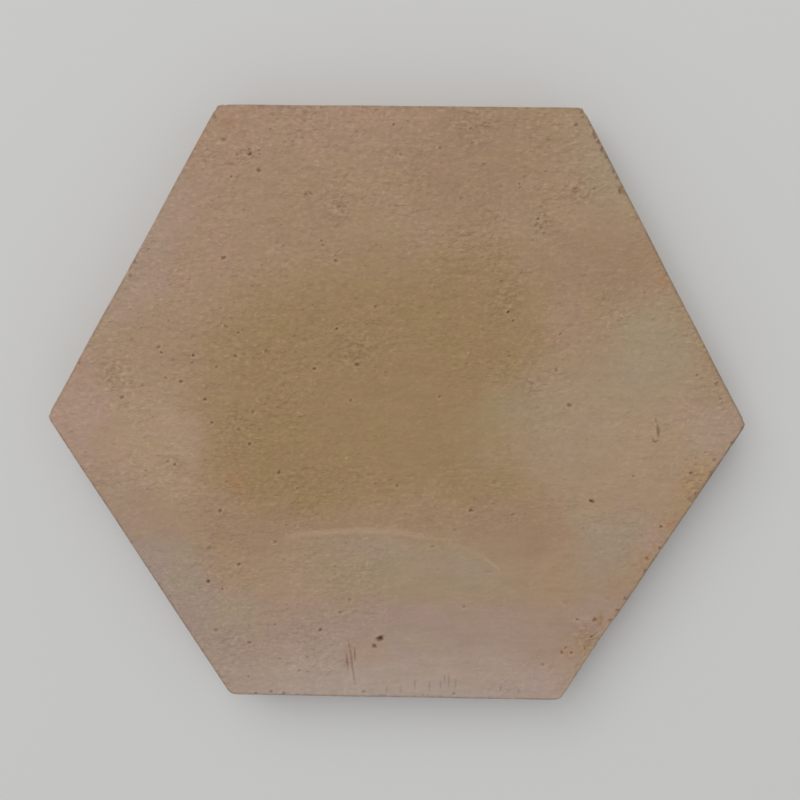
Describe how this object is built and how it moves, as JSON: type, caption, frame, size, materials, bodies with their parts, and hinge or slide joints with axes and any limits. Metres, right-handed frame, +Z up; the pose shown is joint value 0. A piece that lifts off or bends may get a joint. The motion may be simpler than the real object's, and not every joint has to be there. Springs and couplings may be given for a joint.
{
  "type": "hexagonal paving brick",
  "caption": "Flat hexagonal fired-clay paving brick with upright sides and softened edges, laid face up beside its like to pave a floor.",
  "frame": {"origin": "middle of the bed face, on the floor that the brick lies on", "axes": "+Z up through the wear face, +X towards a corner, +Y square to a side, which is up in the picture"},
  "size_m": [0.3446, 0.3, 0.03],
  "materials": {
    "fired_clay": "matte"
  },
  "bodies": {
    "root": {"hexagonal_brick": "fired_clay"}
  },
  "joints": []
}
